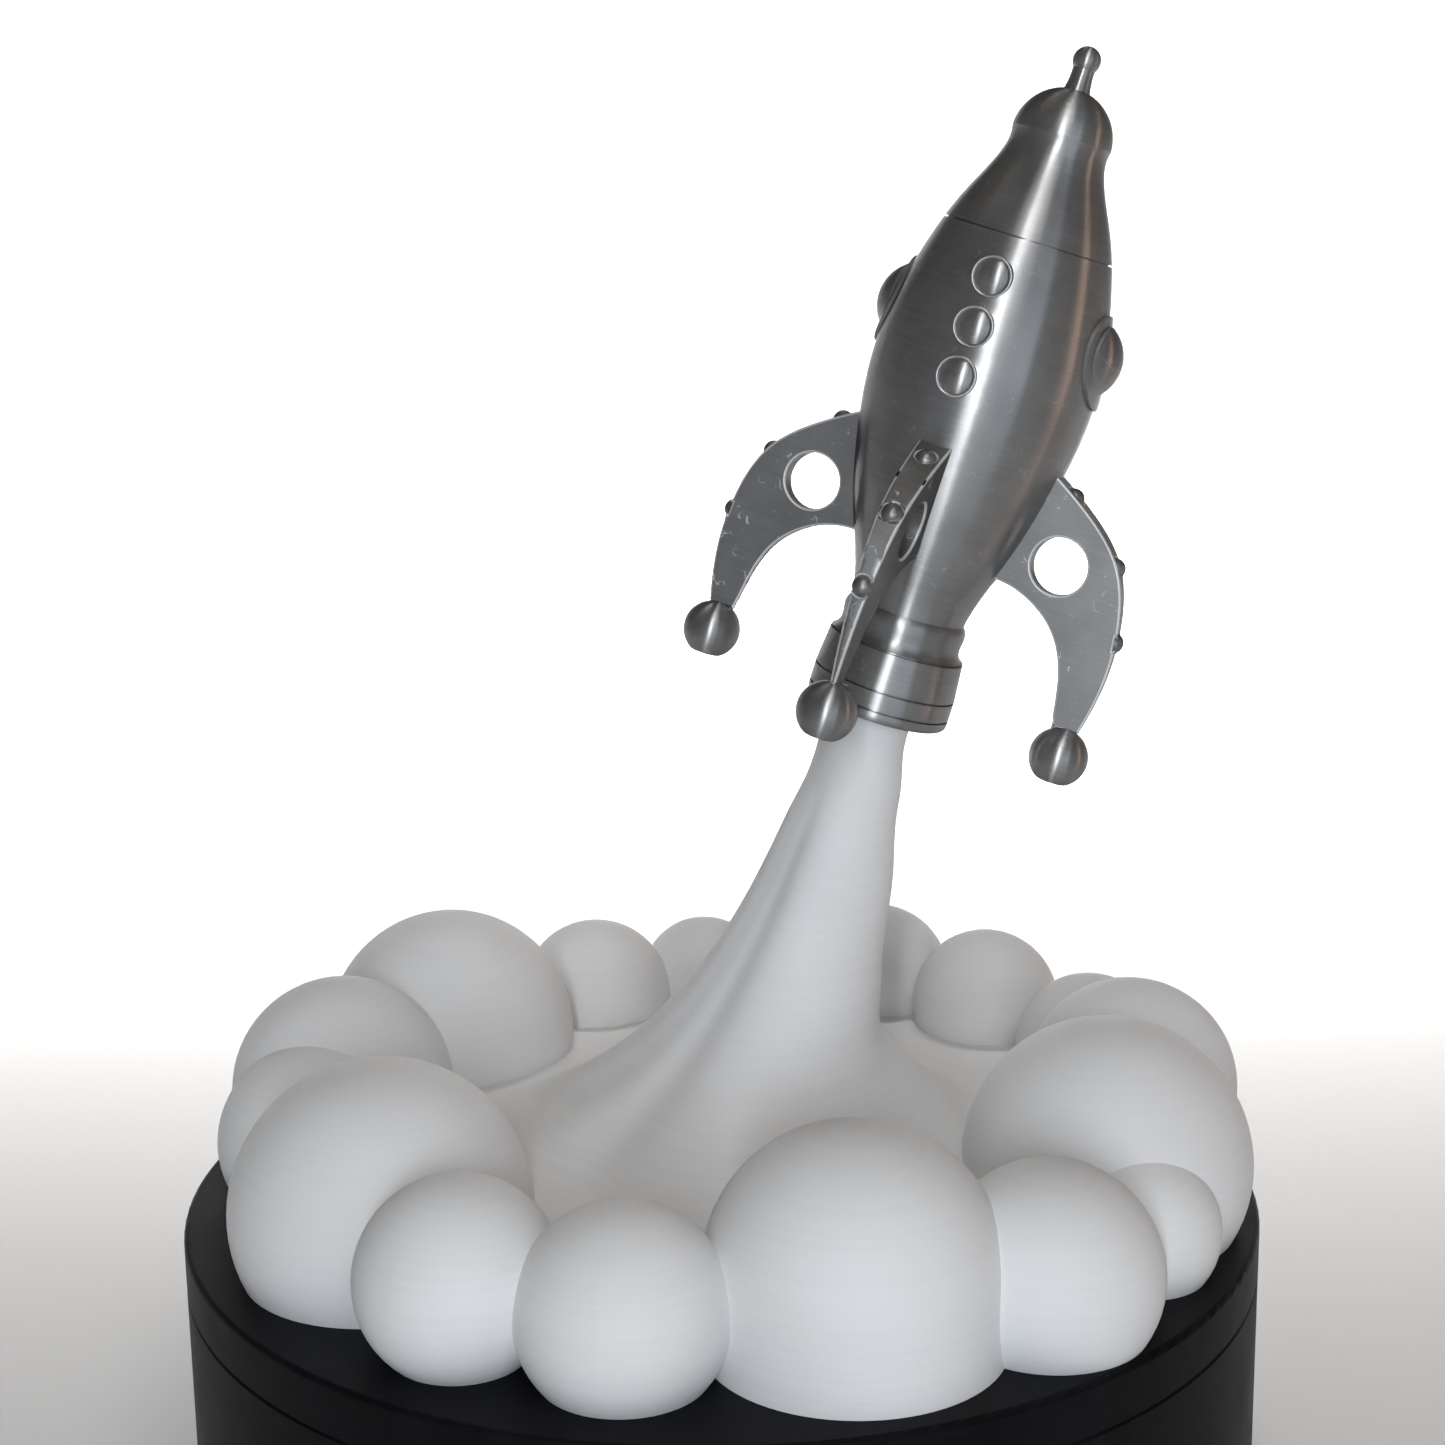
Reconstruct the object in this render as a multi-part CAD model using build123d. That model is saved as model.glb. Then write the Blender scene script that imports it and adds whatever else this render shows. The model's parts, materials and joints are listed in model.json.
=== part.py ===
"""Display model of a retro rocket: a silver rocket leaning on a white plume of
smoke that rises out of a ring of cloud puffs, on a round black base.

Millimetres, +Z up.  The origin is the centre of the base's underside.  The
rocket leans towards +X.  Its own pieces are drawn upright around the Z axis,
with the feet's flat undersides at height 0, and are then set on the leaning
axis, which passes through the centre of the deck.
"""
import math
import os

from build123d import *

# ---- base ----
BASE_RADIUS = 100.0
DECK_TOP = 60.0
DECK_THICKNESS = 9.5
DECK_UNDERSIDE = DECK_TOP - DECK_THICKNESS
DRUM_WALL = 5.0
DRUM_INNER = BASE_RADIUS - DRUM_WALL
EDGE_ROUND = 1.0
SEAM_CHAMFER = 0.4
FLOOR_THICKNESS = 4.0
LID_CLEARANCE = 0.3
LID_RING_WALL = 4.0
LID_RING_DEPTH = 8.0
BOSS_RADIUS = 5.0
BOSS_TOP = 18.0
BOSS_CIRCLE = DRUM_INNER - 3.0
FLOOR_SCREWS = 6

# ---- screws ----
SCREW_SHANK = 1.5
SCREW_HEAD = 3.0
SCREW_HEAD_HEIGHT = 1.8
FLOOR_SCREW_LENGTH = 14.0
SMOKE_SCREW_LENGTH = 17.0
SCREW_SLOT = 0.8

# ---- cloud puffs: bearing in degrees from +X, distance of the centre from the
# middle of the deck, radius, and height of the centre ----
FRONT_PUFFS = [
    (-16.4, 72.7, 26.1, 12.0),
    (-29.6, 83.2, 14.1, 7.9),
    (-49.1, 82.3, 19.1, 9.8),
    (-72.3, 70.3, 25.2, 12.6),
    (-101.8, 78.3, 17.9, 11.3),
    (-122.5, 80.0, 17.3, 13.0),
    (-150.4, 68.7, 26.8, 10.6),
    (177.2, 77.1, 18.5, 8.6),
]
BACK_PUFFS = [
    (164.9, 76.6, 21.4, 13.2),
    (138.6, 74.1, 25.3, 13.5),
    (109.5, 79.9, 16.1, 12.3),
    (92.1, 86.0, 13.8, 11.7),
    (78.5, 84.0, 14.2, 12.0),
    (66.2, 86.0, 15.8, 14.1),
    (46.7, 82.4, 15.3, 14.4),
    (27.0, 84.5, 14.9, 12.1),
    (6.5, 79.3, 20.2, 15.4),
]
UPRIGHT_PUFF = 3
FRONT_SCREW_PUFFS = (0, 3, 6)
BACK_SCREW_PUFFS = (1, 8)

# ---- smoke plume ----
FLOOR_OF_SMOKE = 10.0
SKIRT_RADIUS = 76.0
PLUME_NECK = 7.2
PLUME_FLARE = 66.0
PLUME_DECAY = 22.0
PLUME_LEVELS = (10.0, 15.0, 21.0, 29.0, 39.0, 51.0, 64.0, 78.0)
PLUME_SCREW_CIRCLE = 34.0
PLUME_SCREWS = 3

# ---- the rocket's place ----
LEAN = 17.75
AXIS_LENGTH = 95.3
FIN_ROLL = 110.5
FRONT = -FIN_ROLL
RIGHT = FRONT + 90.0
BACK = FRONT + 180.0
LEFT = FRONT + 270.0

# ---- spigot between plume and rocket ----
SPIGOT_RADIUS = 4.0
RUNNING_FIT = 0.05
SPIGOT_DEPTH = 16.0
SPIGOT_HEIGHT = 20.0
SPIGOT_CHAMFER = 0.8
REST_GAP = 0.05

# ---- hull: radius and height of the points that its curve passes through ----
WALL = 2.0
HULL_BOTTOM = 20.2
SEAM_HEIGHT = 88.5
DOME_RADIUS = 8.9
DOME_START = 106.6
DOME_TOP = 115.0
DOME_FLAT = 1.5
HULL_CURVE = [
    (10.5, HULL_BOTTOM),
    (11.9, 26.0),
    (14.6, 33.5),
    (19.0, 51.0),
    (20.1, 66.0),
    (17.5, 81.0),
    (13.2, 93.5),
    (9.5, 101.3),
    (8.75, 104.0),
    (DOME_RADIUS, DOME_START),
]
SEAM_GROOVE = 0.28
COUPLER_REACH = 4.5
COUPLER_WALL = 1.5

# ---- finial ----
FINIAL_STEM = 1.95
FINIAL_FOOT = 2.6
FINIAL_BALL = 2.45
FINIAL_BALL_HEIGHT = 120.1
FINIAL_TANG = 1.2

# ---- nozzle and tail ----
SLEEVE_RADIUS = 8.0
SLEEVE_BOTTOM = 3.0
SLEEVE_TOP = 26.0
MOUTH_RADIUS = 9.2
NOZZLE_RADIUS = 13.15
NOZZLE_TOP_RADIUS = 12.5
NOZZLE_BOTTOM = 0.8
LIP_TOP = 3.2
MIDDLE_TOP = 6.7
NOZZLE_TOP = 13.8
LIP_ROUND = 1.3
GROOVE_HEIGHT = 0.4
GROOVE_DEPTH = 0.7
COLLAR_CURVE = [(12.4, NOZZLE_TOP), (11.15, 15.7), (11.3, 17.5), (10.5, HULL_BOTTOM)]

# ---- portholes ----
SMALL_HEIGHTS = (63.4, 72.1, 80.9)
SMALL_RIM = 3.6
SMALL_RIM_WIDTH = 0.5
SMALL_PROUD = 0.5
SMALL_DOME = 2.95
SMALL_DOME_RISE = 0.85
SMALL_SEAT = -0.1
LARGE_HEIGHT = 72.1
LARGE_RIM = 8.2
LARGE_RIM_WIDTH = 1.7
LARGE_PROUD = 0.6
LARGE_BALL = 7.7
LARGE_DOME_TOP = 3.7
LARGE_DOME_FOOT = -1.5
LARGE_REACH = 6.0

# ---- fins: radius and height along the outer and inner edges ----
FIN_OUTER = [
    (16.0, 53.0),
    (26.5, 46.6),
    (33.6, 39.8),
    (37.3, 29.5),
    (37.9, 20.0),
    (36.2, 9.0),
    (34.9, 4.4),
]
FIN_INNER = [
    (33.7, 4.4),
    (31.4, 9.5),
    (30.0, 16.5),
    (27.2, 23.5),
    (21.5, 28.6),
    (12.0, 30.6),
]
FIN_THICK_TOP = 6.4
FIN_THICK_MIDDLE = 3.0
FIN_THICK_TIP = 1.0
FIN_MIDDLE_HEIGHT = 27.0
FIN_TOP_HEIGHT = 53.0
FIN_HOLE_RADIUS = 5.1
FIN_HOLE_PLACE = (23.8, 36.6)
RIVET_RADIUS = 1.9
RIVET_SINK = 0.8
RIVET_SHANK = 0.6
RIVET_SHANK_LENGTH = 2.5
RIVET_FRACTIONS = (0.13, 0.38, 0.61)

# ---- feet ----
FOOT_RADIUS = 5.3
FOOT_CIRCLE = 34.3
FOOT_HEIGHT = 4.4


def save(name, shape):
    """Write one piece to its own file."""
    export_step(shape, os.path.join("parts", name + ".step"))


def on_profile(radius, height):
    """A point of a turned profile."""
    return Vector(radius, 0, height)


def turned(edges):
    """A solid turned about Z from a closed profile."""
    return revolve(Face(Wire(edges)), Axis.Z, 360)


def turned_polygon(points):
    """A solid turned about Z from a straight-sided profile."""
    corners = [on_profile(r, h) for r, h in points]
    return turned([Line(a, b) for a, b in zip(corners, corners[1:] + corners[:1])])


def tube(outer, inner, bottom, top):
    """An upright tube between two heights."""
    return turned_polygon([(inner, bottom), (outer, bottom), (outer, top), (inner, top)])


def rod(radius, bottom, top):
    """An upright rod between two heights."""
    return Pos(0, 0, (bottom + top) / 2) * Cylinder(radius, top - bottom)


def slab(bottom, top, reach=60.0):
    """A wide block between two heights, for cutting."""
    return Pos(0, 0, (bottom + top) / 2) * Box(2 * reach, 2 * reach, top - bottom)


def spread(shape, bearings):
    """Copies of a shape turned about Z."""
    return [Rot(0, 0, bearing) * shape for bearing in bearings]


def joined(shapes):
    """Separate solids kept side by side in one piece."""
    return Compound(children=[solid for shape in shapes for solid in shape.solids()])


def rocket_place():
    """Where the rocket's upright frame stands on the leaning axis."""
    lean = math.radians(LEAN)
    across = AXIS_LENGTH * math.sin(lean)
    up = DECK_TOP + AXIS_LENGTH * math.cos(lean)
    return Location((across, 0, up), (0, LEAN, 0))


# ---------------------------------------------------------------- base

def screw(length):
    """A slotted countersunk screw, head down, with its head's face at height 0."""
    head = turned_polygon([(0, 0), (SCREW_HEAD, 0), (SCREW_SHANK, SCREW_HEAD_HEIGHT), (0, SCREW_HEAD_HEIGHT)])
    body = head + rod(SCREW_SHANK, SCREW_HEAD_HEIGHT, length)
    return body - Box(4 * SCREW_HEAD, SCREW_SLOT, SCREW_SLOT)


def screw_hole(length):
    """The space that a screw fills, with its slot closed."""
    head = turned_polygon([(0, 0), (SCREW_HEAD, 0), (SCREW_SHANK, SCREW_HEAD_HEIGHT), (0, SCREW_HEAD_HEIGHT)])
    return head + rod(SCREW_SHANK, SCREW_HEAD_HEIGHT, length)


def floor_screw_places():
    """Places of the screws that hold the floor to the drum."""
    step = 360 / FLOOR_SCREWS
    return [Rot(0, 0, step * (i + 0.5)) * Pos(BOSS_CIRCLE - BOSS_RADIUS, 0, 0) for i in range(FLOOR_SCREWS)]


def floor_screws():
    return joined([place * screw(FLOOR_SCREW_LENGTH) for place in floor_screw_places()])


def base_drum():
    """Open drum with screw bosses inside its wall."""
    profile = [
        (DRUM_INNER, 0),
        (BASE_RADIUS - SEAM_CHAMFER, 0),
        (BASE_RADIUS, SEAM_CHAMFER),
        (BASE_RADIUS, DECK_UNDERSIDE - SEAM_CHAMFER),
        (BASE_RADIUS - SEAM_CHAMFER, DECK_UNDERSIDE),
        (DRUM_INNER, DECK_UNDERSIDE),
    ]
    drum = turned_polygon(profile)
    web_length = BOSS_RADIUS + DRUM_WALL
    for place in floor_screw_places():
        boss = rod(BOSS_RADIUS, FLOOR_THICKNESS, BOSS_TOP)
        web_height = BOSS_TOP - FLOOR_THICKNESS
        web_middle = FLOOR_THICKNESS + web_height / 2
        web = Pos(web_length / 2, 0, web_middle) * Box(web_length, BOSS_RADIUS, web_height)
        drum = drum + place * (boss + web)
    for place in floor_screw_places():
        drum = drum - place * screw_hole(FLOOR_SCREW_LENGTH)
    return drum


def base_floor():
    """Disc that closes the drum from below."""
    floor = rod(DRUM_INNER, 0, FLOOR_THICKNESS)
    for place in floor_screw_places():
        floor = floor - place * screw_hole(FLOOR_SCREW_LENGTH)
    return floor


def smoke_screw_places(plume):
    """Places of the screws that hold the smoke to the deck, with their heads in the deck's underside."""
    if plume:
        step = 360 / PLUME_SCREWS
        spots = [(step * i + 60, PLUME_SCREW_CIRCLE) for i in range(PLUME_SCREWS)]
    else:
        puffs = [FRONT_PUFFS[i] for i in FRONT_SCREW_PUFFS] + [BACK_PUFFS[i] for i in BACK_SCREW_PUFFS]
        spots = [values[:2] for values in puffs]
    return [Rot(0, 0, bearing) * Pos(distance, 0, DECK_UNDERSIDE) for bearing, distance in spots]


def smoke_screws(plume):
    return joined([place * screw(SMOKE_SCREW_LENGTH) for place in smoke_screw_places(plume)])


def without_smoke_screws(shape):
    """A shape with the holes of all the smoke's screws."""
    for plume in (True, False):
        for place in smoke_screw_places(plume):
            shape = shape - place * screw_hole(SMOKE_SCREW_LENGTH)
    return shape


def deck_plate():
    """Round deck with a rounded top edge."""
    flat = BASE_RADIUS - EDGE_ROUND
    corner = DECK_TOP - EDGE_ROUND
    edges = [
        Line(on_profile(0, DECK_UNDERSIDE), on_profile(BASE_RADIUS - SEAM_CHAMFER, DECK_UNDERSIDE)),
        Line(
            on_profile(BASE_RADIUS - SEAM_CHAMFER, DECK_UNDERSIDE),
            on_profile(BASE_RADIUS, DECK_UNDERSIDE + SEAM_CHAMFER),
        ),
        Line(on_profile(BASE_RADIUS, DECK_UNDERSIDE + SEAM_CHAMFER), on_profile(BASE_RADIUS, corner)),
        ThreePointArc(
            on_profile(BASE_RADIUS, corner),
            on_profile(flat + EDGE_ROUND * math.sqrt(0.5), corner + EDGE_ROUND * math.sqrt(0.5)),
            on_profile(flat, DECK_TOP),
        ),
        Line(on_profile(flat, DECK_TOP), on_profile(0, DECK_TOP)),
        Line(on_profile(0, DECK_TOP), on_profile(0, DECK_UNDERSIDE)),
    ]
    return without_smoke_screws(turned(edges))


def deck_locating_ring():
    """Ring under the deck that finds the drum's wall."""
    outer = DRUM_INNER - LID_CLEARANCE
    return tube(outer, outer - LID_RING_WALL, DECK_UNDERSIDE - LID_RING_DEPTH, DECK_UNDERSIDE)


# ---------------------------------------------------------------- smoke

def puff(bearing, distance, radius, height):
    """A ball cut flat by the deck."""
    ball = Pos(0, 0, height) * Sphere(radius) & slab(0, height + 2 * radius)
    return Rot(0, 0, bearing) * Pos(distance, 0, DECK_TOP) * ball


def upright_skirt(bearing, distance, radius, height):
    """The upright lower half of a puff that doesn't draw in to its foot."""
    return Rot(0, 0, bearing) * Pos(distance, 0, DECK_TOP) * rod(radius, 0, height)


def grown_together(puffs):
    """Neighbouring puffs as one solid."""
    cloud = puff(*puffs[0])
    for values in puffs[1:]:
        cloud = cloud + puff(*values)
    return cloud


def plume_radius(level):
    """Radius of the plume at a height above the deck."""
    return PLUME_NECK + PLUME_FLARE * math.exp(-level / PLUME_DECAY)


def plume_column():
    """Leaning column that flares towards the deck, with its top square to the rocket's axis."""
    lean = math.radians(LEAN)
    top = AXIS_LENGTH + SLEEVE_BOTTOM - REST_GAP
    top_level = top * math.cos(lean)
    sections = []
    for level in PLUME_LEVELS + (top_level,):
        tilt = LEAN * ((level - FLOOR_OF_SMOKE) / (top_level - FLOOR_OF_SMOKE)) ** 2
        centre = (level * math.tan(lean), 0, DECK_TOP + level)
        sections.append(Location(centre, (0, tilt, 0)) * Circle(plume_radius(level)))
    return loft(sections)


def smoke_plume(clouds):
    """Plume and the low skirt that fills the middle of the cloud."""
    plume = rod(SKIRT_RADIUS, DECK_TOP, DECK_TOP + FLOOR_OF_SMOKE) + plume_column()
    socket = rod(SPIGOT_RADIUS + RUNNING_FIT, -SPIGOT_DEPTH, SPIGOT_DEPTH)
    for cloud in clouds:
        plume = plume - cloud
    return plume - rocket_place() * socket


# ---------------------------------------------------------------- rocket body

def body_core(inset):
    """The rocket's body as a full solid, smaller than its outside by the inset."""
    curve = [on_profile(r - inset, h) for r, h in HULL_CURVE]
    dome_height = DOME_TOP - inset - DOME_START
    dome_middle = on_profile(
        (DOME_RADIUS - inset) * math.sqrt(0.5),
        DOME_START + dome_height * math.sqrt(0.5),
    )
    crown = on_profile(DOME_FLAT, DOME_TOP - inset)
    top = on_profile(0, DOME_TOP - inset)
    foot = on_profile(0, HULL_BOTTOM)
    edges = [
        Spline(curve),
        ThreePointArc(curve[-1], dome_middle, crown),
        Line(crown, top),
        Line(top, foot),
        Line(foot, curve[0]),
    ]
    return turned(edges)


def seam_groove():
    """Ring of square section that marks the seam between hull and nose."""
    radius = hull_radius(SEAM_HEIGHT)
    return tube(radius + 3, radius - SEAM_GROOVE, SEAM_HEIGHT - SEAM_GROOVE, SEAM_HEIGHT)


def body_shell():
    """Hull and nose together as one thin shell."""
    return body_core(0) - body_core(WALL)


def hull_shell(shell, fittings):
    """Hull with the openings of its fittings."""
    hull = shell & slab(HULL_BOTTOM, SEAM_HEIGHT)
    for fitting in fittings:
        hull = hull - fitting
    return hull


def finial():
    """Ball on a stem, with a tang that goes into the nose."""
    foot = DOME_TOP - FINIAL_TANG
    neck = FINIAL_BALL_HEIGHT - math.sqrt(FINIAL_BALL ** 2 - FINIAL_STEM ** 2)
    edges = [
        Line(on_profile(0, foot), on_profile(FINIAL_FOOT, foot)),
        Spline([
            on_profile(FINIAL_FOOT, foot),
            on_profile(FINIAL_STEM + 0.2, foot + 1.9),
            on_profile(FINIAL_STEM, neck),
        ]),
        ThreePointArc(
            on_profile(FINIAL_STEM, neck),
            on_profile(FINIAL_BALL, FINIAL_BALL_HEIGHT),
            on_profile(0, FINIAL_BALL_HEIGHT + FINIAL_BALL),
        ),
        Line(on_profile(0, FINIAL_BALL_HEIGHT + FINIAL_BALL), on_profile(0, foot)),
    ]
    return turned(edges)


def nose_cone(shell, topknot):
    """Cone and dome above the seam."""
    return (shell & slab(SEAM_HEIGHT, DOME_TOP + 1)) - topknot


def nose_coupler():
    """Ring inside the seam that holds hull and nose in line."""
    span = slab(SEAM_HEIGHT - COUPLER_REACH, SEAM_HEIGHT + COUPLER_REACH)
    return (body_core(WALL) - body_core(WALL + COUPLER_WALL)) & span


# ---------------------------------------------------------------- nozzle

def nozzle_ring(bottom, top, bottom_radius, top_radius):
    """Ring of the nozzle with a rebate at its upper edge."""
    ledge = top - GROOVE_HEIGHT
    inner_edge = top_radius - GROOVE_DEPTH
    return turned_polygon([
        (SLEEVE_RADIUS, bottom),
        (bottom_radius, bottom),
        (top_radius, ledge),
        (inner_edge, ledge),
        (inner_edge, top),
        (SLEEVE_RADIUS, top),
    ])


def nozzle_lip():
    """Lowest ring, with the mouth that takes the plume and a rounded lower edge."""
    bottom = NOZZLE_BOTTOM
    ledge = LIP_TOP - GROOVE_HEIGHT
    inner_edge = NOZZLE_RADIUS - GROOVE_DEPTH
    flat = NOZZLE_RADIUS - LIP_ROUND
    edges = [
        Line(on_profile(MOUTH_RADIUS, bottom), on_profile(flat, bottom)),
        ThreePointArc(
            on_profile(flat, bottom),
            on_profile(flat + LIP_ROUND * math.sqrt(0.5), bottom + LIP_ROUND * (1 - math.sqrt(0.5))),
            on_profile(NOZZLE_RADIUS, bottom + LIP_ROUND),
        ),
        Line(on_profile(NOZZLE_RADIUS, bottom + LIP_ROUND), on_profile(NOZZLE_RADIUS, ledge)),
        Line(on_profile(NOZZLE_RADIUS, ledge), on_profile(inner_edge, ledge)),
        Line(on_profile(inner_edge, ledge), on_profile(inner_edge, LIP_TOP)),
        Line(on_profile(inner_edge, LIP_TOP), on_profile(MOUTH_RADIUS, LIP_TOP)),
        Line(on_profile(MOUTH_RADIUS, LIP_TOP), on_profile(MOUTH_RADIUS, bottom)),
    ]
    return turned(edges)


def tail_collar():
    """Beaded collar between nozzle and hull."""
    curve = [on_profile(r, h) for r, h in COLLAR_CURVE]
    edges = [
        Spline(curve),
        Line(curve[-1], on_profile(SLEEVE_RADIUS, HULL_BOTTOM)),
        Line(on_profile(SLEEVE_RADIUS, HULL_BOTTOM), on_profile(SLEEVE_RADIUS, NOZZLE_TOP)),
        Line(on_profile(SLEEVE_RADIUS, NOZZLE_TOP), curve[0]),
    ]
    return turned(edges)


def nozzle_sleeve():
    """Socket tube that carries the rings and slides over the spigot."""
    outside = rod(SLEEVE_RADIUS, SLEEVE_BOTTOM, SLEEVE_TOP)
    bore = rod(SPIGOT_RADIUS + RUNNING_FIT, 0, SPIGOT_HEIGHT + 1)
    return outside - bore


def spigot():
    """Loose dowel between plume and rocket."""
    pin = rod(SPIGOT_RADIUS, -SPIGOT_DEPTH + REST_GAP, SPIGOT_HEIGHT)
    ends = pin.edges().filter_by(GeomType.CIRCLE)
    return chamfer(ends, SPIGOT_CHAMFER)


# ---------------------------------------------------------------- portholes

def facing_out(bearing, height, reach):
    """A place at a distance from the axis whose Z points away from the axis."""
    return Rot(0, 0, bearing) * Pos(reach, 0, height) * Rot(0, 90, 0)


def hull_radius(height):
    """Radius of the hull near a height, on the straight between two points of its curve."""
    for (r0, h0), (r1, h1) in zip(HULL_CURVE, HULL_CURVE[1:]):
        if h0 <= height <= h1:
            return r0 + (r1 - r0) * (height - h0) / (h1 - h0)
    return HULL_CURVE[-1][0]


def rim(radius, width, proud, depth):
    """Rounded bezel of a porthole, with its seat at height 0."""
    round_off = 0.45 * min(width, proud)
    ring = tube(radius, radius - width, -depth, proud)
    top = ring.edges().filter_by(GeomType.CIRCLE).group_by(Axis.Z)[-1]
    return fillet(top, round_off)


def dome(floor, radius, rise, seat, depth):
    """Domed window on a floor that fills a bezel."""
    curve = (radius ** 2 + rise ** 2) / (2 * rise)
    cap = Pos(0, 0, seat + rise - curve) * Sphere(curve) & slab(seat, seat + rise + 1)
    return cap + rod(floor, -depth, seat)


def small_places():
    """The two rows of three small portholes, over the front and back fins."""
    return [facing_out(b, h, hull_radius(h)) for b in (FRONT, BACK) for h in SMALL_HEIGHTS]


def large_places():
    """The two large portholes, over the right and left fins."""
    return [facing_out(b, LARGE_HEIGHT, hull_radius(LARGE_HEIGHT)) for b in (RIGHT, LEFT)]


def small_rims():
    shape = rim(SMALL_RIM, SMALL_RIM_WIDTH, SMALL_PROUD, WALL)
    return joined([place * shape for place in small_places()])


def small_domes():
    shape = dome(SMALL_RIM - SMALL_RIM_WIDTH, SMALL_DOME, SMALL_DOME_RISE, SMALL_SEAT, WALL)
    return joined([place * shape for place in small_places()])


def bezel_shell():
    """The hull's wall, thickened outwards by what the large bezels stand proud."""
    return body_core(-LARGE_PROUD) - body_core(WALL)


def large_rims(shell):
    """Flat bezels that follow the hull's curve."""
    ring = tube(LARGE_RIM, LARGE_RIM - LARGE_RIM_WIDTH, -LARGE_REACH, LARGE_REACH)
    return joined([place * ring & shell for place in large_places()])


def large_domes(shell):
    """Domed windows whose seats fill the large bezels."""
    floor = LARGE_RIM - LARGE_RIM_WIDTH
    ball = Pos(0, 0, LARGE_DOME_TOP - LARGE_BALL) * Sphere(LARGE_BALL)
    cap = ball & rod(floor, LARGE_DOME_FOOT, LARGE_REACH)
    plug = rod(floor, -LARGE_REACH, LARGE_REACH)
    return joined([(place * plug & shell) + place * cap for place in large_places()])


def porthole_openings():
    """Round openings in the hull that the bezels fill."""
    small = rod(SMALL_RIM, -2 * WALL, 2 * WALL)
    large = rod(LARGE_RIM, -2 * WALL, 2 * WALL)
    return [p * small for p in small_places()] + [p * large for p in large_places()]


# ---------------------------------------------------------------- fins

def fin_outer_edge():
    return Spline([on_profile(r, h) for r, h in FIN_OUTER])


def fin_taper():
    """Upright wedge that thins the fin towards its tip."""
    tip, middle, top = FIN_THICK_TIP / 2, FIN_THICK_MIDDLE / 2, FIN_THICK_TOP / 2
    half = [
        (tip, 0),
        (tip, FOOT_HEIGHT + FOOT_RADIUS),
        (middle, FIN_MIDDLE_HEIGHT),
        (top, FIN_TOP_HEIGHT + 1),
    ]
    corners = half + [(-t, h) for t, h in reversed(half)]
    outline = Polyline([Vector(0, t, h) for t, h in corners], close=True)
    return extrude(Face(Wire(outline.edges())), 60, dir=(1, 0, 0))


def foot():
    """Ball foot with a flat underside, under a fin at bearing 0."""
    ball = Pos(FOOT_CIRCLE, 0, FOOT_HEIGHT) * Sphere(FOOT_RADIUS)
    return ball & Pos(FOOT_CIRCLE, 0, 0) * slab(0, 20, 10)


def rivets():
    """Three dome-headed rivets on a fin's outer edge, at bearing 0."""
    edge = fin_outer_edge()
    pieces = []
    for fraction in RIVET_FRACTIONS:
        point = edge @ fraction
        along = edge % fraction
        outward = Vector(-along.Z, 0, along.X)
        if outward.X < 0:
            outward = outward * -1
        head = Pos(0, 0, -RIVET_SINK) * Sphere(RIVET_RADIUS) & slab(-0.3, RIVET_RADIUS)
        shank = rod(RIVET_SHANK, -RIVET_SHANK_LENGTH, 0)
        place = Plane(origin=point, z_dir=outward)
        pieces.append(place * (head + shank))
    return pieces


def fin(core, ball, pins):
    """Curved fin at bearing 0, with its tab in the hull's wall."""
    outer = fin_outer_edge()
    inner = Spline([on_profile(r, h) for r, h in FIN_INNER])
    tip = Line(outer @ 1, inner @ 0)
    root = Line(inner @ 1, outer @ 0)
    outline = Face(Wire([outer, tip, inner, root]))
    plate = extrude(outline, FIN_THICK_TOP / 2 + 0.5, dir=(0, 1, 0), both=True)
    plate = plate & fin_taper()
    hole_radius, hole_height = FIN_HOLE_PLACE
    hole = Pos(hole_radius, 0, hole_height) * Rot(90, 0, 0) * Cylinder(FIN_HOLE_RADIUS, 20)
    plate = plate - hole - core - ball
    for pin in pins:
        plate = plate - pin
    return plate


# ---------------------------------------------------------------- build

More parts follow.
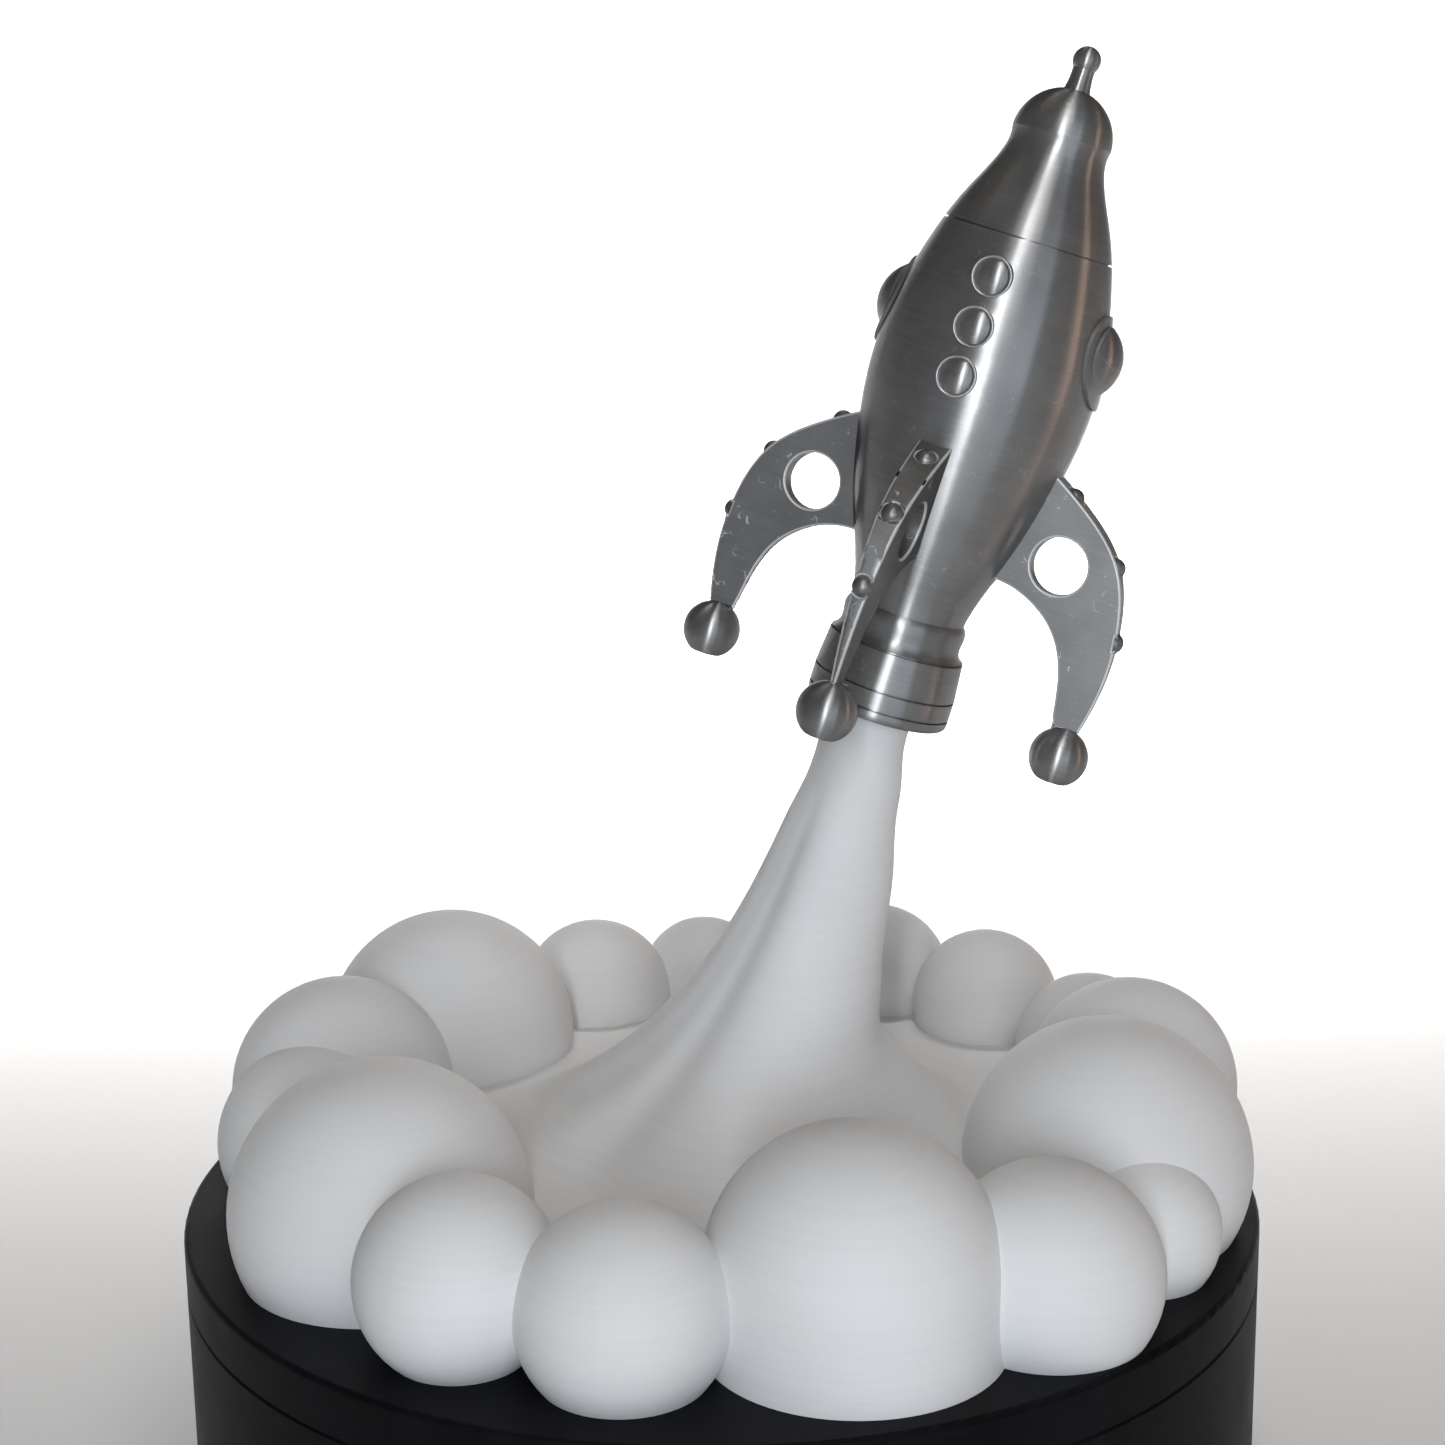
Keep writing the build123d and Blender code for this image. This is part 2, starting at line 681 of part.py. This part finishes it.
def main():
    os.makedirs("parts", exist_ok=True)
    place = rocket_place()
    bearings = {"front": FRONT, "right": RIGHT, "back": BACK, "left": LEFT}

    save("base_drum", base_drum())
    save("base_floor", base_floor())
    save("base_floor_screws", floor_screws())
    save("deck_plate", deck_plate())
    save("deck_locating_ring", deck_locating_ring())
    save("cloud_screws", smoke_screws(False))
    save("plume_screws", smoke_screws(True))

    cloud_front = grown_together(FRONT_PUFFS) + upright_skirt(*FRONT_PUFFS[UPRIGHT_PUFF])
    cloud_back = grown_together(BACK_PUFFS) - cloud_front
    save("cloud_front", without_smoke_screws(cloud_front))
    save("cloud_back", without_smoke_screws(cloud_back))
    save("smoke_plume", without_smoke_screws(smoke_plume([cloud_front, cloud_back])))
    save("spigot", place * spigot())

    shell = body_shell() - seam_groove()
    ball = foot()
    pins = rivets()
    plain_fin = fin(body_core(WALL), ball, pins)
    fins = spread(plain_fin, bearings.values())
    for name, bearing in bearings.items():
        save("fin_" + name, place * Rot(0, 0, bearing) * plain_fin)
        save("foot_" + name, place * Rot(0, 0, bearing) * ball)
    all_pins = [pin for base_pin in pins for pin in spread(base_pin, bearings.values())]
    save("fin_rivets", place * joined(all_pins))

    topknot = finial()
    save("finial", place * topknot)
    save("nose_cone", place * nose_cone(shell, topknot))
    save("nose_coupler", place * nose_coupler())
    save("hull_shell", place * hull_shell(shell, fins + porthole_openings()))
    save("tail_collar", place * tail_collar())
    save("nozzle_upper_ring", place * nozzle_ring(MIDDLE_TOP, NOZZLE_TOP, NOZZLE_RADIUS, NOZZLE_TOP_RADIUS))
    save("nozzle_middle_ring", place * nozzle_ring(LIP_TOP, MIDDLE_TOP, NOZZLE_RADIUS, NOZZLE_RADIUS))
    save("nozzle_lip", place * nozzle_lip())
    save("nozzle_sleeve", place * nozzle_sleeve())
    save("small_porthole_rims", place * small_rims())
    save("small_porthole_domes", place * small_domes())
    thick = bezel_shell()
    save("large_porthole_rims", place * large_rims(thick))
    save("large_porthole_domes", place * large_domes(thick))


if __name__ == "__main__":
    main()
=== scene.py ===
"""Looks of the retro rocket on its smoke plume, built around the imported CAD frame."""

import json
import math

import bmesh
import bpy
from mathutils import Matrix, Vector


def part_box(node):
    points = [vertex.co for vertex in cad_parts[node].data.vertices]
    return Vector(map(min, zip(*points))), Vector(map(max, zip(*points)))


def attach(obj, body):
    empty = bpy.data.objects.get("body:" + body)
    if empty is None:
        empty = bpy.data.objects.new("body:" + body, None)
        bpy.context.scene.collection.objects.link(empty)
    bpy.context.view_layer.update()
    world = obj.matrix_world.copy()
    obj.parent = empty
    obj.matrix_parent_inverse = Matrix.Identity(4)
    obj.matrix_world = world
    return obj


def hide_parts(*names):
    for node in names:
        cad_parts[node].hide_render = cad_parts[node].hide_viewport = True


MM = 0.001

# ---- camera: place in metres, turns in degrees, lens and sensor in mm ----
CAMERA_PLACE = Vector((0.0, -0.4433, 0.2508))
CAMERA_YAW = 0.19
CAMERA_DOWN = 12.86
CAMERA_ROLL = -0.83
SENSOR = 36.0
LENS = 62.28

# ---- stage in metres: a floor from its front edge to its back, which bends up into a wall ----
STAGE_WIDTH = 4.4
STAGE_FRONT = -1.5
STAGE_BACK = 2.5
STAGE_HEIGHT = 1.1
STAGE_BEND = 0.6
STAGE_STEPS = 16

# ---- lights: name, place, target, width and height in metres, watts, colour, spread in degrees ----
OPEN = 180
LIGHTS = (
    ("front_low", (0.26, -1.15, 0.26), (0.0, 0.0, 0.09), (1.1, 0.5), 2.8, (0.80, 0.90, 1.0), OPEN),
    ("key_line", (-0.085, -0.90, 0.36), (0.03, 0.0, 0.15), (0.025, 0.7), 3.2, (0.93, 0.97, 1.0), OPEN),
    ("front_high", (0.12, -0.42, 0.72), (0.0, -0.05, 0.09), (0.3, 0.3), 0.95, (1.0, 0.95, 0.91), OPEN),
    ("warm_side", (1.1, -0.15, 0.25), (0.03, 0.0, 0.15), (0.12, 0.5), 0.45, (1.0, 0.66, 0.48), OPEN),
    ("backdrop", (0.0, 0.9, 1.6), (0.0, 2.4, 0.4), (1.6, 0.6), 44.0, (1.0, 1.0, 1.0), 130),
    ("floor_wash", (0.0, 0.95, 1.5), (0.0, 0.95, 0.0), (1.4, 0.7), 20.0, (1.0, 1.0, 1.0), 60),
)

# ---- world: what the silver mirrors on each side ----
WORLD_LEFT = (0.055, 0.057, 0.075, 1)
WORLD_RIGHT = (0.17, 0.125, 0.10, 1)
WORLD_FRONT = (0.20, 0.222, 0.265, 1)
WORLD_ABOVE = (0.07, 0.058, 0.045, 1)
WORLD_SEEN = 0.8

# ---- fins, in millimetres and degrees ----
FIN_EDGE = 0.4
WELD_DISTANCE = 0.001
FLAT_ANGLE = 0.5
SHARP_ANGLE = 40

# ---- smoke plume: heights in millimetres above the deck, bearings in degrees from the leaning side ----
FLOOR_OF_SMOKE = 10.0
FLOOR_BLEND = 2.0
SKIRT_RADIUS = 76.0
PLUME_NECK = 7.2
PLUME_FLARE = 66.0
PLUME_DECAY = 22.0
PLUME_MOUTH = 8.14
PLUME_CREASE = 50
SOCKET_RADIUS = 4.05
SOCKET_DEPTH = 32.0
RING_POINTS = 288
RINGS_PART = 30.0
UPPER_RINGS = 46
LOWER_RINGS = 70

# ---- folds of the plume: bearing, width, and depth as a share of the plume's radius ----
LEFT_FOLD = (-136.0, 14.0, 0.10)
SKIRT_FOLD = (-154.0, 11.0, 0.045)
SKIRT_FOLD_TURN = 55.0
SKIRT_FOLD_HEIGHT = 9.0
BACK_FOLDS = ((128.0, 14.0, 0.05), (42.0, 14.0, 0.06))
FRONT_LOBE = (-98.0, 36.0, 0.07)
FOLDS_START = (6.0, 14.0)
FOLDS_END = (62.0, 86.0)

# ---- fuller and slimmer places of the plume: height, reach in height, and share of the radius ----
SIDE_WIDTH = 55.0
RIGHT_SWELL = (61.0, 13.0, 0.15)
RIGHT_SWELL_ABOVE = 10.0
RIGHT_HOLLOW = (31.0, 8.0, 0.12)
RIGHT_NECK = (77.0, 88.0, 0.17)
LEFT_WAIST = (79.0, 6.0, 0.08)

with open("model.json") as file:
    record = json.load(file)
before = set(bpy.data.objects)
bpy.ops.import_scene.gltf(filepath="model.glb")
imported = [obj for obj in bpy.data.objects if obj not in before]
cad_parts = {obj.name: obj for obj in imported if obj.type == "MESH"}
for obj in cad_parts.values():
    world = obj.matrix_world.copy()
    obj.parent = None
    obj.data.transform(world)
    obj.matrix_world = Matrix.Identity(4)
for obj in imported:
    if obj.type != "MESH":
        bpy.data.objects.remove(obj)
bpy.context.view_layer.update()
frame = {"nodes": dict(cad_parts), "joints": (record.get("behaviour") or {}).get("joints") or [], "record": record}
nodes = frame["nodes"]
joints = {joint["name"]: joint for joint in frame["joints"]}

AXIS = Vector(joints["rocket_turn"]["axis"]).normalized()
NOZZLE = Vector(joints["rocket_turn"]["pos_m"])
LEAN = math.atan2(AXIS.x, AXIS.z)
DECK_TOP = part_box("deck_plate")[1].z
PLUME_TOP = (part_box("smoke_plume")[1].z - DECK_TOP) / MM - PLUME_MOUTH * math.sin(LEAN)


# ---------------------------------------------------------------- node helpers

def add(tree, kind, inputs=(), **settings):
    """A shader node with its settings, and inputs given as values or as sockets."""
    made = tree.nodes.new(kind)
    for name, value in settings.items():
        setattr(made, name, value)
    for key, value in dict(inputs).items():
        socket = made.inputs[key]
        if isinstance(value, bpy.types.NodeSocket):
            tree.links.new(value, socket)
        else:
            socket.default_value = value
    return made


def math_node(tree, operation, a, b=0.0):
    return add(tree, "ShaderNodeMath", {0: a, 1: b}, operation=operation).outputs[0]


def ramp(tree, factor, low, high):
    """0 below low, 1 above high, smooth between."""
    made = add(tree, "ShaderNodeMapRange", {0: factor, 1: low, 2: high}, interpolation_type="SMOOTHSTEP")
    return made.outputs[0]


def mix(tree, factor, a, b):
    """Colour between a and b."""
    return add(tree, "ShaderNodeMix", {0: factor, 6: a, 7: b}, data_type="RGBA").outputs[2]


def blend(tree, a, share_a, b, share_b):
    """Two values added in their shares."""
    return math_node(
        tree, "ADD", math_node(tree, "MULTIPLY", a, share_a), math_node(tree, "MULTIPLY", b, share_b)
    )


def noise(tree, place, scale, detail=2.0, roughness=0.5):
    return add(
        tree, "ShaderNodeTexNoise",
        {"Vector": place, "Scale": scale, "Detail": detail, "Roughness": roughness},
    ).outputs["Fac"]


def stretched(tree, place, scale):
    """A place with each of its axes scaled."""
    return add(tree, "ShaderNodeVectorMath", {0: place, 1: scale}, operation="MULTIPLY").outputs[0]


def grey(level):
    return (level, level, level, 1.0)


def start_material(name):
    """A material with one Principled shader, and the object's own place in millimetres."""
    material = bpy.data.materials.new(name)
    material.use_nodes = True
    tree = material.node_tree
    shader = tree.nodes["Principled BSDF"]
    place = add(tree, "ShaderNodeTexCoord").outputs["Object"]
    return material, tree, shader, stretched(tree, place, Vector((1, 1, 1)) / MM)


def set_bump(tree, shader, height, depth, strength=1.0):
    """Relief of a depth in millimetres."""
    bump = add(tree, "ShaderNodeBump", {"Height": height, "Distance": depth * MM, "Strength": strength})
    tree.links.new(bump.outputs[0], shader.inputs["Normal"])


def printed_layers(tree, shader, place, layers, pitch, depth, strength):
    """Relief of printed layers stacked along Z: even rings under the uneven layers."""
    rings = add(
        tree, "ShaderNodeTexWave",
        {"Vector": place, "Scale": pitch, "Distortion": 0.3, "Detail": 1.0},
        wave_type="BANDS", bands_direction="Z",
    ).outputs["Fac"]
    height = math_node(tree, "ADD", math_node(tree, "MULTIPLY", rings, 0.3), layers)
    set_bump(tree, shader, height, depth, strength)


# ---------------------------------------------------------------- materials

def on_axis(tree, place):
    """The place in the rocket's upright frame: Z runs along its axis from the nozzle's bottom."""
    return add(
        tree, "ShaderNodeMapping",
        {"Vector": place, "Location": NOZZLE / MM, "Rotation": (0.0, LEAN, 0.0)},
        vector_type="TEXTURE",
    ).outputs[0]


def hair_lines(tree, place, scale, width):
    """Thin wandering lines, as stray threads leave on a print."""
    field = noise(tree, place, scale, 2.0, 0.5)
    off = math_node(tree, "ABSOLUTE", math_node(tree, "SUBTRACT", field, 0.5))
    lines = math_node(tree, "SUBTRACT", 1.0, ramp(tree, off, width * 0.4, width))
    patches = ramp(tree, noise(tree, place, scale * 1.6, 3.0), 0.56, 0.64)
    return math_node(tree, "MULTIPLY", lines, patches)


def silk_silver(name, tone=0.34, rough=0.34, scuffs=0.25, anisotropy=1.0, metallic=0.85):
    """Silver printed plastic: layer lines square to the rocket's axis draw each highlight out along it."""
    material, tree, shader, place = start_material(name)
    upright = on_axis(tree, place)
    layers = noise(tree, stretched(tree, upright, (0.05, 0.05, 3.2)), 1.0, 2.0, 0.6)
    clouds = noise(tree, upright, 0.10, 2.0)
    tones = blend(tree, layers, 0.35, clouds, 0.65)
    colour = mix(tree, ramp(tree, tones, 0.3, 0.7), grey(tone * 0.88), grey(tone * 1.1))
    specks = noise(tree, stretched(tree, upright, (0.55, 0.55, 1.1)), 1.0, 5.0, 0.7)
    marks = math_node(tree, "MAXIMUM", ramp(tree, specks, 0.66, 0.72), hair_lines(tree, upright, 0.25, 0.010))
    marks = math_node(tree, "MULTIPLY", marks, scuffs)
    colour = mix(tree, marks, colour, grey(0.85))
    tree.links.new(colour, shader.inputs["Base Color"])
    shader.inputs["Metallic"].default_value = metallic
    shader.inputs["Anisotropic"].default_value = anisotropy
    shader.inputs["Specular Tint"].default_value = grey(0.25)
    spread = math_node(tree, "ADD", math_node(tree, "MULTIPLY", layers, 0.03), rough - 0.015)
    spread = math_node(tree, "ADD", spread, math_node(tree, "MULTIPLY", marks, 0.3))
    tree.links.new(spread, shader.inputs["Roughness"])
    along = add(
        tree, "ShaderNodeVectorTransform", {0: AXIS},
        vector_type="VECTOR", convert_from="OBJECT", convert_to="WORLD",
    ).outputs[0]
    tree.links.new(along, shader.inputs["Tangent"])
    printed_layers(tree, shader, upright, layers, 1.0, 0.003, 0.4)
    return material


def white_print(name):
    """White matte printed plastic with faint level layer lines."""
    material, tree, shader, place = start_material(name)
    layers = noise(tree, stretched(tree, place, (0.015, 0.015, 1.8)), 1.0, 2.0, 0.5)
    clouds = noise(tree, place, 0.03, 2.0)
    tones = blend(tree, layers, 0.3, clouds, 0.7)
    colour = mix(tree, ramp(tree, tones, 0.3, 0.7), (0.74, 0.74, 0.74, 1), (0.78, 0.79, 0.80, 1))
    tree.links.new(colour, shader.inputs["Base Color"])
    shader.inputs["Roughness"].default_value = 0.6
    shader.inputs["Specular IOR Level"].default_value = 0.3
    printed_layers(tree, shader, place, layers, 0.8, 0.006, 0.25)
    return material


def black_matte(name):
    """Black matte plastic with faint mottling."""
    material, tree, shader, place = start_material(name)
    mottle = noise(tree, place, 0.09, 5.0, 0.6)
    colour = mix(tree, ramp(tree, mottle, 0.3, 0.7), (0.003, 0.003, 0.004, 1), (0.006, 0.006, 0.008, 1))
    tree.links.new(colour, shader.inputs["Base Color"])
    spread = math_node(tree, "ADD", math_node(tree, "MULTIPLY", mottle, 0.2), 0.4)
    tree.links.new(spread, shader.inputs["Roughness"])
    shader.inputs["Specular IOR Level"].default_value = 0.08
    set_bump(tree, shader, noise(tree, place, 1.3, 3.0, 0.6), 0.04, 0.3)
    return material


def steel(name):
    """Plain screw steel."""
    material, tree, shader, place = start_material(name)
    grain = noise(tree, place, 2.0, 3.0)
    tree.links.new(mix(tree, grain, grey(0.45), grey(0.6)), shader.inputs["Base Color"])
    shader.inputs["Metallic"].default_value = 1.0
    shader.inputs["Roughness"].default_value = 0.35
    set_bump(tree, shader, grain, 0.01, 0.5)
    return material


def plain_stage(name):
    """Pale even floor."""
    material = bpy.data.materials.new(name)
    material.use_nodes = True
    shader = material.node_tree.nodes["Principled BSDF"]
    shader.inputs["Base Color"].default_value = grey(0.86)
    shader.inputs["Roughness"].default_value = 0.9
    shader.inputs["Specular IOR Level"].default_value = 0.1
    return material


def paint(material, names):
    """Gives CAD nodes their material."""
    for name in names:
        mesh = nodes[name].data
        mesh.materials.clear()
        mesh.materials.append(material)


def soften_edges(names, edge_highlight_material):
    """Rounds the sharp edges of CAD nodes a little, and gives the rounding its own material: a lighter silver that
    paints a highlight along the edges, with scuff marks of wear.
    """
    for name in names:
        node = nodes[name]
        node.data.materials.append(edge_highlight_material)
        weld = node.modifiers.new("weld", "WELD")
        weld.merge_threshold = WELD_DISTANCE * MM
        flatten = node.modifiers.new("flatten", "DECIMATE")
        flatten.decimate_type = "DISSOLVE"
        flatten.angle_limit = math.radians(FLAT_ANGLE)
        bevel = node.modifiers.new("bevel", "BEVEL")
        bevel.width = FIN_EDGE * MM
        bevel.segments = 2
        bevel.limit_method = "ANGLE"
        bevel.angle_limit = math.radians(SHARP_ANGLE)
        # the rounding takes the edge material, a painted highlight along the edges
        bevel.material = 1
        bevel.use_clamp_overlap = False
        node.modifiers.new("weighted_normal", "WEIGHTED_NORMAL")


def paint_nodes(white):
    """Every CAD node's material; the fins get a darker silver of painted shade, the right fin and the small
    porthole rims lighter ones of painted light, and the fins' rounded edges a lighter silver that paints a
    highlight along them, with scuff marks of wear.
    """
    silver = silk_silver("silk_silver")
    # the fins are the hull's own silk silver; their lower tone is painted shade
    silver_fin = silk_silver("silk_silver_fin", tone=0.25, rough=0.41, scuffs=0.6, anisotropy=0.1)
    # painted light: a lighter copy of the fins' silver, for the right fin alone
    fin_silver_painted_light = silk_silver("silk_silver_painted_light", tone=0.33, rough=0.41, scuffs=0.7, anisotropy=0.1)
    # the rounded fin edges: a lighter silver that paints a highlight along them, with scuff marks of wear
    edge_silver_highlight_and_wear = silk_silver(
        "silk_silver_edge_highlight_and_wear", tone=0.62, rough=0.45, scuffs=0.8, anisotropy=0.1, metallic=0.4
    )
    # the small porthole rims are the hull's silk silver; their lighter tone is a painted highlight
    rim_silver_painted_highlight = silk_silver(
        "silk_silver_rim_painted_highlight", tone=0.48, rough=0.34, scuffs=0.6, anisotropy=0.6, metallic=0.75
    )
    rocket = frame["record"]["behaviour"]["bodies"]["rocket"]
    fins = [name for name in rocket if name.startswith("fin_")]
    paint(silver, rocket)
    # painted shade: the fins get a darker copy of the hull's silver
    paint(silver_fin, fins)
    # painted light on the right fin
    paint(fin_silver_painted_light, ["fin_right"])
    # painted highlight: the small porthole rims get a lighter copy of the silver
    paint(rim_silver_painted_highlight, ["small_porthole_rims"])
    paint(white, ["cloud_front", "cloud_back"])
    paint(black_matte("black_matte"), ["base_drum", "base_floor", "deck_plate", "deck_locating_ring"])
    paint(silver, ["spigot"])
    paint(steel("screw_steel"), [name for name in nodes if name.endswith("_screws")])
    soften_edges(["fin_front", "fin_right", "fin_back", "fin_left"], edge_silver_highlight_and_wear)


# ---------------------------------------------------------------- camera, stage and light

def add_camera():
    """Camera at the height, distance and lens from which the model is seen in the reference view."""
    yaw, down, roll = (math.radians(turn) for turn in (CAMERA_YAW, CAMERA_DOWN, CAMERA_ROLL))
    ahead = Vector((math.sin(yaw) * math.cos(down), math.cos(yaw) * math.cos(down), -math.sin(down)))
    right = ahead.cross(Vector((0, 0, 1))).normalized()
    up = right.cross(ahead)
    across = math.cos(roll) * right + math.sin(roll) * up
    above = -math.sin(roll) * right + math.cos(roll) * up
    data = bpy.data.cameras.new("camera")
    data.sensor_width = SENSOR
    data.lens = LENS
    data.clip_start = 0.01
    camera = bpy.data.objects.new("camera", data)
    turn = Matrix((across, above, -ahead)).transposed().to_4x4()
    camera.matrix_world = Matrix.Translation(CAMERA_PLACE) @ turn
    bpy.context.scene.collection.objects.link(camera)
    bpy.context.scene.camera = camera


def add_area(name, place, target, size, power, colour, spread):
    """Soft light of a width and height, aimed at a point, with a spread in degrees."""
    data = bpy.data.lights.new(name, "AREA")
    data.shape = "RECTANGLE"
    data.size, data.size_y = size
    data.energy = power
    data.color = colour
    data.spread = math.radians(spread)
    light = bpy.data.objects.new(name, data)
    light.location = place
    light.rotation_euler = (Vector(target) - Vector(place)).to_track_quat("-Z", "Y").to_euler()
    bpy.context.scene.collection.objects.link(light)


def add_stage():
    """Pale floor that curves up into a backdrop."""
    bend_start = STAGE_BACK - STAGE_BEND
    profile = [(STAGE_FRONT, 0.0), (bend_start, 0.0)]
    for i in range(1, STAGE_STEPS + 1):
        angle = i / STAGE_STEPS * math.pi / 2
        profile.append((bend_start + STAGE_BEND * math.sin(angle), STAGE_BEND - STAGE_BEND * math.cos(angle)))
    profile.append((STAGE_BACK, STAGE_HEIGHT))
    vertices = [(x, y, z) for y, z in profile for x in (-STAGE_WIDTH / 2, STAGE_WIDTH / 2)]
    faces = [(2 * i, 2 * i + 1, 2 * i + 3, 2 * i + 2) for i in range(len(profile) - 1)]
    mesh = bpy.data.meshes.new("stage")
    mesh.from_pydata(vertices, [], faces)
    mesh.shade_smooth()
    stage = bpy.data.objects.new("stage", mesh)
    bpy.context.scene.collection.objects.link(stage)
    mesh.materials.append(plain_stage("stage"))


def add_world():
    """Dim and bluish at the left, brown at the right and above, cool from the front; seen as pale grey."""
    world = bpy.data.worlds.new("world")
    world.use_nodes = True
    tree = world.node_tree
    back = tree.nodes["Background"]
    place = add(tree, "ShaderNodeTexCoord").outputs["Generated"]
    split = add(tree, "ShaderNodeSeparateXYZ", {0: place})
    colour = mix(tree, ramp(tree, split.outputs["X"], -0.3, 0.6), WORLD_LEFT, WORLD_RIGHT)
    front = ramp(tree, math_node(tree, "MULTIPLY", split.outputs["Y"], -1.0), 0.1, 0.95)
    colour = mix(tree, front, colour, WORLD_FRONT)
    colour = mix(tree, ramp(tree, split.outputs["Z"], 0.05, 0.7), colour, WORLD_ABOVE)
    seen = add(tree, "ShaderNodeLightPath").outputs["Is Camera Ray"]
    tree.links.new(mix(tree, seen, colour, grey(WORLD_SEEN)), back.inputs["Color"])
    back.inputs["Strength"].default_value = 1.0
    bpy.context.scene.world = world


# ---------------------------------------------------------------- smoke plume

def angle_between(a, b):
    """Smallest turn between two bearings, in degrees."""
    return abs((a - b + 180) % 360 - 180)


def smooth(value, low, high):
    """0 below low, 1 above high, smooth between."""
    part = min(1.0, max(0.0, (value - low) / (high - low)))
    return part * part * (3 - 2 * part)


def bell(offset, width):
    """1 in the middle, and nearly nothing two widths away."""
    return math.exp(-((offset / width) ** 2))


def ridge(bearing, middle, width, depth):
    """Share of the radius that a fold or lobe takes or gives at a bearing."""
    return depth * bell(angle_between(bearing, middle), width)


def folds_at(level):
    """The folds that run up the plume; the skirt's fold drifts round as it reaches the floor."""
    drift = math.exp(-max(0.0, level - FLOOR_OF_SMOKE) / SKIRT_FOLD_HEIGHT)
    middle, width, depth = SKIRT_FOLD
    return (LEFT_FOLD, (middle - SKIRT_FOLD_TURN * drift, width, depth), *BACK_FOLDS)


def right_side(level):
    """Share of the radius by which the leaning side is fuller, or slimmer below zero."""
    swell_level, swell_below, swell = RIGHT_SWELL
    hollow_level, hollow_reach, hollow = RIGHT_HOLLOW
    neck_low, neck_high, neck = RIGHT_NECK
    reach = RIGHT_SWELL_ABOVE if level > swell_level else swell_below
    fuller = swell * bell(level - swell_level, reach)
    slimmer = hollow * bell(level - hollow_level, hollow_reach) + neck * smooth(level, neck_low, neck_high)
    return fuller - slimmer


def left_side(level):
    """Share of the radius by which the other side is slimmer."""
    waist_level, waist_reach, waist = LEFT_WAIST
    return waist * bell(level - waist_level, waist_reach)


def plume_reach(level, bearing):
    """Distance of the plume's surface from its middle line."""
    reach = PLUME_NECK + PLUME_FLARE * math.exp(-level / PLUME_DECAY)
    relief = ridge(bearing, *FRONT_LOBE) - sum(ridge(bearing, *fold) for fold in folds_at(level))
    relief *= smooth(level, *FOLDS_START) * (1 - smooth(level, *FOLDS_END))
    relief += right_side(level) * bell(angle_between(bearing, 0.0), SIDE_WIDTH)
    relief -= left_side(level) * bell(angle_between(bearing, 180.0), SIDE_WIDTH)
    return reach * (1 + relief)


def plume_height(level):
    """Height above the deck: the level itself, eased into the floor of the smoke."""
    above = (level - FLOOR_OF_SMOKE) / FLOOR_BLEND
    return FLOOR_OF_SMOKE + FLOOR_BLEND * math.log1p(math.exp(min(60.0, above)))


def plume_ring(level, height, reach_at):
    """Points of a ring round the leaning middle line; rings turn square to the rocket's axis as they rise."""
    rise = min(1.0, max(0.0, (height - FLOOR_OF_SMOKE) / (PLUME_TOP - FLOOR_OF_SMOKE)))
    tilt = LEAN * rise * rise
    ring = []
    for i in range(RING_POINTS):
        bearing = 360.0 * i / RING_POINTS
        reach = reach_at(level, bearing)
        x = reach * math.cos(math.radians(bearing))
        y = reach * math.sin(math.radians(bearing))
        ring.append(Vector((height * math.tan(LEAN) + x * math.cos(tilt), y, height - x * math.sin(tilt))))
    return ring


def plume_rings():
    """The plume's rings from the foot of its socket, up, over its mouth and down to the skirt's underside."""
    top = Vector((PLUME_TOP * math.tan(LEAN), 0, PLUME_TOP))
    socket_foot = top - AXIS * SOCKET_DEPTH
    bottom_level = -PLUME_DECAY * math.log((SKIRT_RADIUS - PLUME_NECK) / PLUME_FLARE)
    levels = [PLUME_TOP + (RINGS_PART - PLUME_TOP) * i / UPPER_RINGS for i in range(UPPER_RINGS)]
    levels += [RINGS_PART + (bottom_level - RINGS_PART) * i / LOWER_RINGS for i in range(LOWER_RINGS + 1)]
    socket = plume_ring(0, PLUME_TOP, lambda level, bearing: SOCKET_RADIUS)
    rings = [[point + socket_foot - top for point in socket], socket]
    rings += [plume_ring(level, plume_height(level), plume_reach) for level in levels]
    rings.append(plume_ring(0, 0.0, lambda level, bearing: SKIRT_RADIUS))
    return rings


def add_plume(material):
    """The smoke plume with soft folds, its socket for the spigot, and the floor between the puffs."""
    deck = Vector((0, 0, DECK_TOP / MM))
    shape = bmesh.new()
    loops = [[shape.verts.new((point + deck) * MM) for point in ring] for ring in plume_rings()]
    for upper, lower in zip(loops, loops[1:]):
        for i in range(RING_POINTS):
            j = (i + 1) % RING_POINTS
            shape.faces.new((upper[i], lower[i], lower[j], upper[j]))
    shape.faces.new(loops[0])
    shape.faces.new(list(reversed(loops[-1])))
    bmesh.ops.recalc_face_normals(shape, faces=shape.faces)
    mesh = bpy.data.meshes.new("plume_folds")
    shape.to_mesh(mesh)
    shape.free()
    mesh.shade_smooth()
    mesh.set_sharp_from_angle(angle=math.radians(PLUME_CREASE))
    plume = bpy.data.objects.new("plume_folds", mesh)
    bpy.context.scene.collection.objects.link(plume)
    mesh.materials.append(material)
    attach(plume, "deck")
    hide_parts("smoke_plume")


# ---------------------------------------------------------------- build

add_camera()
add_stage()
add_world()
for light in LIGHTS:
    add_area(*light)
white_smoke = white_print("white_print")
paint_nodes(white_smoke)
add_plume(white_smoke)
bpy.context.scene.view_settings.view_transform = "Standard"
